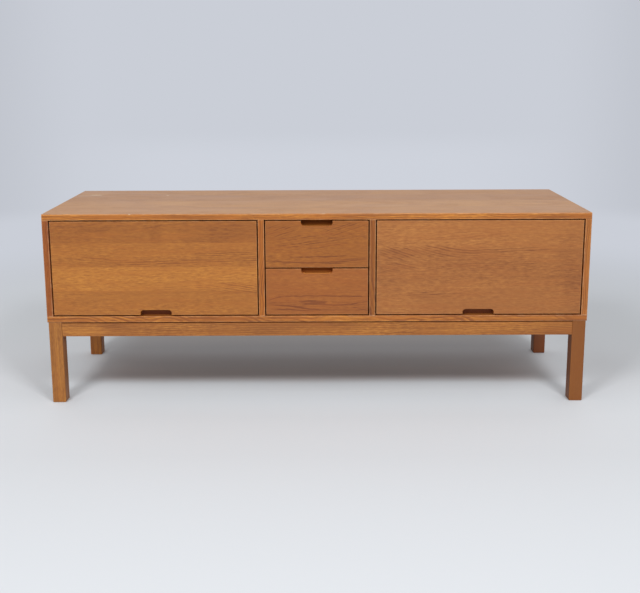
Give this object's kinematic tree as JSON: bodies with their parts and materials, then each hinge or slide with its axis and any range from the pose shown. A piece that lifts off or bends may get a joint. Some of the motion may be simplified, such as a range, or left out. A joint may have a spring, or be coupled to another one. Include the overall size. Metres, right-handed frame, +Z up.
{
  "type": "sideboard",
  "caption": "Low rectangular sideboard on a square-legged frame, with lift-up flap doors at both sides of a stack of drawers, all with finger cut-outs.",
  "frame": {"origin": "on the floor, at the middle of the width and of the depth", "axes": "+X along the width to the right seen from the front, +Y from the front to the back, +Z up"},
  "size_m": [1.6, 0.48, 0.575],
  "materials": {
    "oak_veneer": "satin clear lacquer, horizontal grain",
    "oak_top": "satin clear lacquer, faded by light",
    "oak_front": "satin clear lacquer, horizontal grain",
    "oak_solid": "satin clear lacquer, straight grain",
    "back_board": "raw plywood",
    "beech": "raw beech",
    "steel": "zinc plated",
    "brass": "dull brass",
    "bush": "dark brown nylon"
  },
  "bodies": {
    "carcass": {"back_panel": "back_board", "back_panel_screws": "steel", "bottom_front_lipping": "oak_solid", "bottom_panel": "oak_veneer", "carcass_dowels": "beech", "corner_blocks": "beech", "door_pivot_bushes": "bush", "door_stops": "oak_solid", "frame_screws": "steel", "front_apron": "oak_solid", "front_left_leg": "oak_solid", "front_right_leg": "oak_solid", "interior_screws": "steel", "left_apron": "oak_solid", "left_divider": "oak_veneer", "left_divider_lipping": "oak_solid", "left_shelf": "oak_veneer", "left_side_lipping": "oak_solid", "left_side_panel": "oak_veneer", "left_stay_plate": "steel", "lower_left_runner": "beech", "lower_right_runner": "beech", "rear_apron": "oak_solid", "rear_left_leg": "oak_solid", "rear_right_leg": "oak_solid", "right_apron": "oak_solid", "right_divider": "oak_veneer", "right_divider_lipping": "oak_solid", "right_shelf": "oak_veneer", "right_side_lipping": "oak_solid", "right_side_panel": "oak_veneer", "right_stay_plate": "steel", "shelf_pins": "brass", "stay_friction_nuts": "brass", "top_front_lipping": "oak_solid", "top_panel": "oak_top", "upper_left_runner": "beech", "upper_right_runner": "beech"},
    "left_door": {"left_bracket_screws": "steel", "left_door_panel": "oak_front", "left_door_pivot_pins": "steel", "left_stay_bracket": "steel", "left_stay_rivet": "steel"},
    "right_door": {"right_bracket_screws": "steel", "right_door_panel": "oak_front", "right_door_pivot_pins": "steel", "right_stay_bracket": "steel", "right_stay_rivet": "steel"},
    "left_stay": {"left_stay_arm": "steel"},
    "right_stay": {"right_stay_arm": "steel"},
    "upper_drawer": {"upper_drawer_back": "beech", "upper_drawer_bottom": "back_board", "upper_drawer_front": "oak_front", "upper_drawer_left_side": "beech", "upper_drawer_right_side": "beech"},
    "lower_drawer": {"lower_drawer_back": "beech", "lower_drawer_bottom": "back_board", "lower_drawer_front": "oak_front", "lower_drawer_left_side": "beech", "lower_drawer_right_side": "beech"}
  },
  "joints": [
    {"name": "left_door_hinge", "type": "hinge", "parent": "carcass", "child": "left_door", "pos_m": [-0.477, -0.229, 0.5415], "axis": [-1, 0, 0], "range_deg": [0, 90]},
    {"name": "left_stay_pivot", "type": "hinge", "parent": "left_door", "child": "left_stay", "pos_m": [-0.77, -0.208, 0.44373], "axis": [-1, 0, 0], "range_deg": [-45, 0]},
    {"name": "right_door_hinge", "type": "hinge", "parent": "carcass", "child": "right_door", "pos_m": [0.477, -0.229, 0.5415], "axis": [-1, 0, 0], "range_deg": [0, 90]},
    {"name": "right_stay_pivot", "type": "hinge", "parent": "right_door", "child": "right_stay", "pos_m": [0.77, -0.208, 0.44373], "axis": [-1, 0, 0], "range_deg": [-45, 0]},
    {"name": "upper_drawer_slide", "type": "slide", "parent": "carcass", "child": "upper_drawer", "axis": [0, -1, 0], "range_m": [0, 0.3]},
    {"name": "lower_drawer_slide", "type": "slide", "parent": "carcass", "child": "lower_drawer", "axis": [0, -1, 0], "range_m": [0, 0.3]}
  ],
  "couplings": [
    {"joint": "left_stay_pivot", "follows": "left_door_hinge", "ratio": -0.5},
    {"joint": "right_stay_pivot", "follows": "right_door_hinge", "ratio": -0.5}
  ]
}
